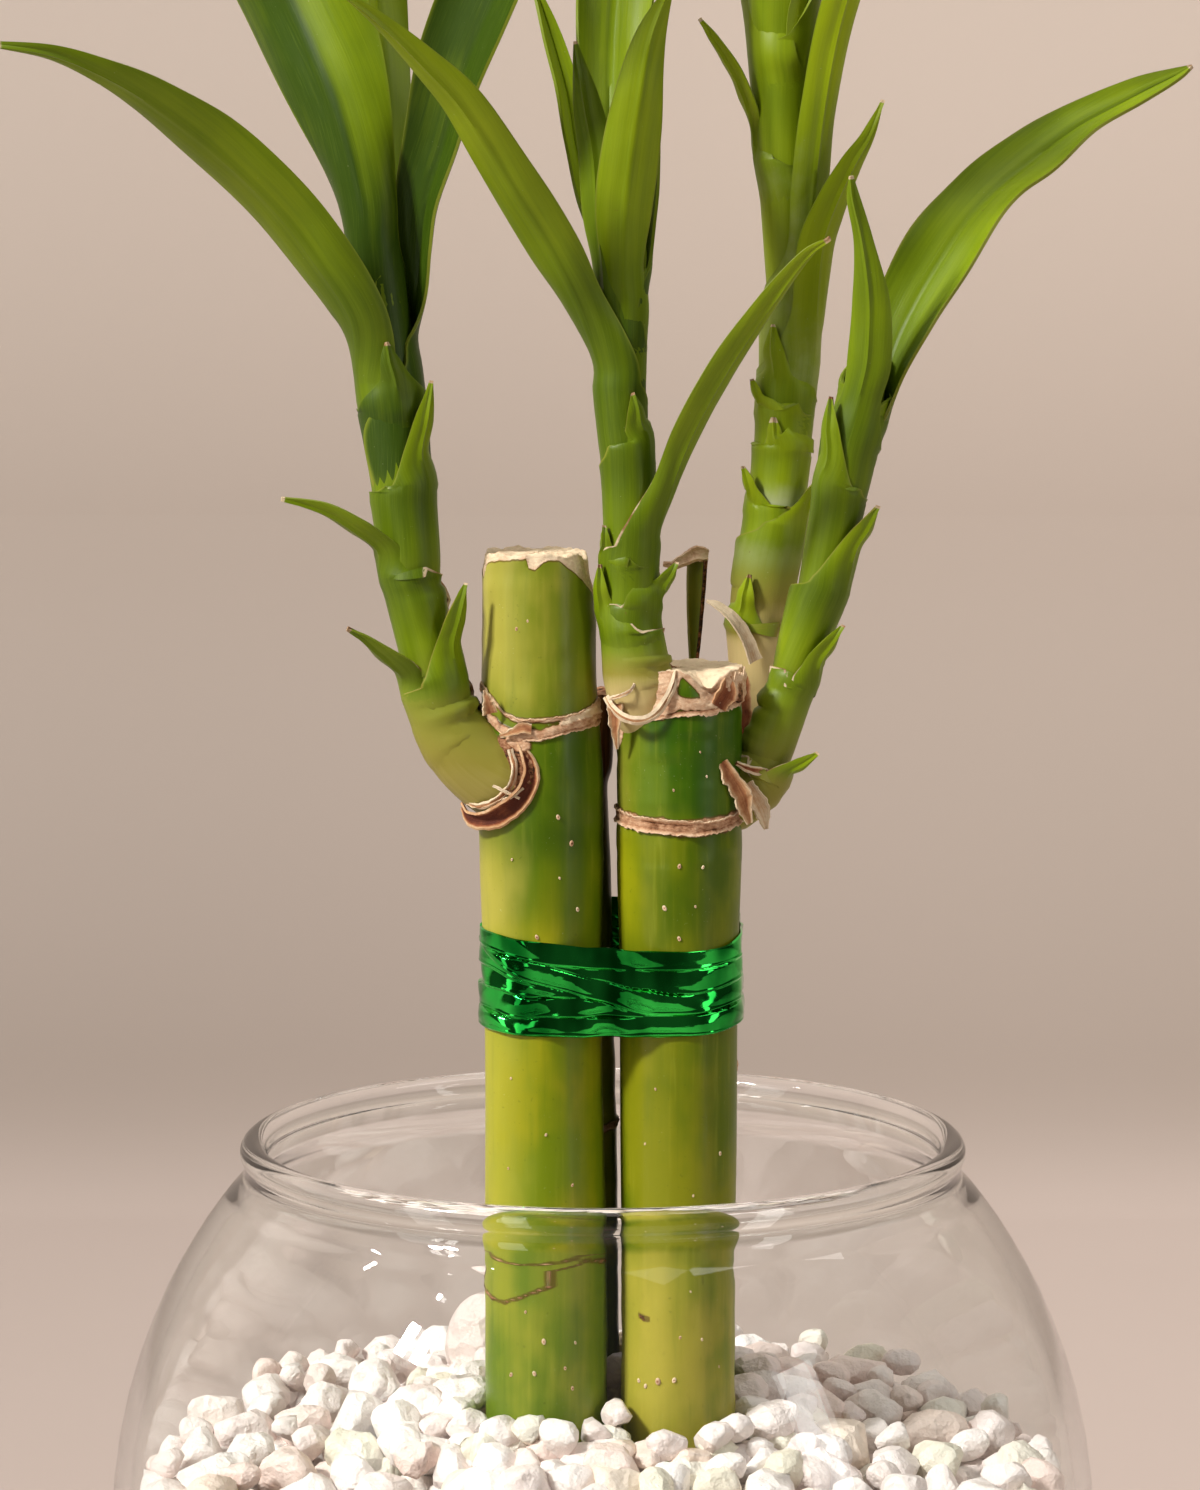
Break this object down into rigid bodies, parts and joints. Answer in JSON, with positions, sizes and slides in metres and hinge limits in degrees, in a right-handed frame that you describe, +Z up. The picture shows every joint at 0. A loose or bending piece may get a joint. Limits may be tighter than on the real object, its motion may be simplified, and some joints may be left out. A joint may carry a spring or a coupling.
{
  "type": "lucky bamboo in a glass bowl",
  "caption": "Cut lucky bamboo canes with leafy side shoots, tied with a metallic foil band and standing in white pebbles in a round clear glass bowl.",
  "frame": {"origin": "centre of the bowl's flat underside", "axes": "+Z up along the bowl's axis, +X to the right and -Y towards the front, from where the picture was taken"},
  "size_m": [0.1628, 0.139, 0.348],
  "materials": {
    "glass": "clear, polished",
    "pebbles": "matt tumbled marble",
    "cane": "waxy green rind, satin",
    "cane_back": "waxy rind drying to brown, satin",
    "leaf": "satin living leaf",
    "dry_sheath": "dry and papery",
    "foil": "crumpled metallic green foil"
  },
  "bodies": {
    "root": {"bowl": "glass", "gravel": "pebbles", "cane_left": "cane", "cane_right": "cane", "cane_back_left": "cane_back", "cane_back_right": "cane_back", "tie_band": "foil", "shoot_left": "leaf", "shoot_middle": "leaf", "shoot_back": "leaf", "shoot_right": "leaf", "collar_left": "dry_sheath", "collar_middle": "dry_sheath", "collar_back": "dry_sheath", "collar_right": "dry_sheath"}
  },
  "joints": []
}
